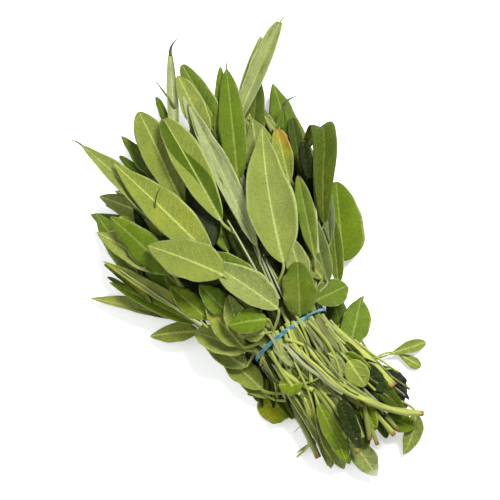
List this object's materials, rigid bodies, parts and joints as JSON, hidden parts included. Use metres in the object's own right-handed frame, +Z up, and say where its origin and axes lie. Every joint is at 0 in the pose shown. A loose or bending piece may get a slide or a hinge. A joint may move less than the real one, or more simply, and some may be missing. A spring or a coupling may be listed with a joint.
{
  "type": "sage bunch",
  "caption": "Bunch of fresh cut sage lying on its side: leafy stems tied with a rubber band, with long oval leaves fanned at one end and bare cut stems at the other.",
  "frame": {"origin": "on the surface the bunch lies on, under the middle of the rubber band", "axes": "+X runs along the surface from the cut ends of the stems to the tips of the leaves, +Y to the left seen from the cut ends, +Z up"},
  "size_m": [0.2344, 0.1638, 0.045],
  "materials": {
    "sage": "matt leaf: saturated green upper sides, pale grey-green felted undersides, yellow-green stems with browned cut ends",
    "rubber_band": "satin blue rubber"
  },
  "bodies": {
    "root": {"rubber_band": "rubber_band", "sprig_01": "sage", "sprig_02": "sage", "sprig_03": "sage", "sprig_04": "sage", "sprig_05": "sage", "sprig_06": "sage", "sprig_07": "sage", "sprig_08": "sage", "sprig_09": "sage", "sprig_10": "sage", "sprig_11": "sage", "sprig_12": "sage", "sprig_13": "sage", "sprig_14": "sage", "sprig_15": "sage", "sprig_16": "sage", "sprig_17": "sage", "sprig_18": "sage", "sprig_19": "sage", "sprig_20": "sage", "sprig_21": "sage", "sprig_22": "sage", "sprig_23": "sage", "sprig_24": "sage"}
  },
  "joints": []
}
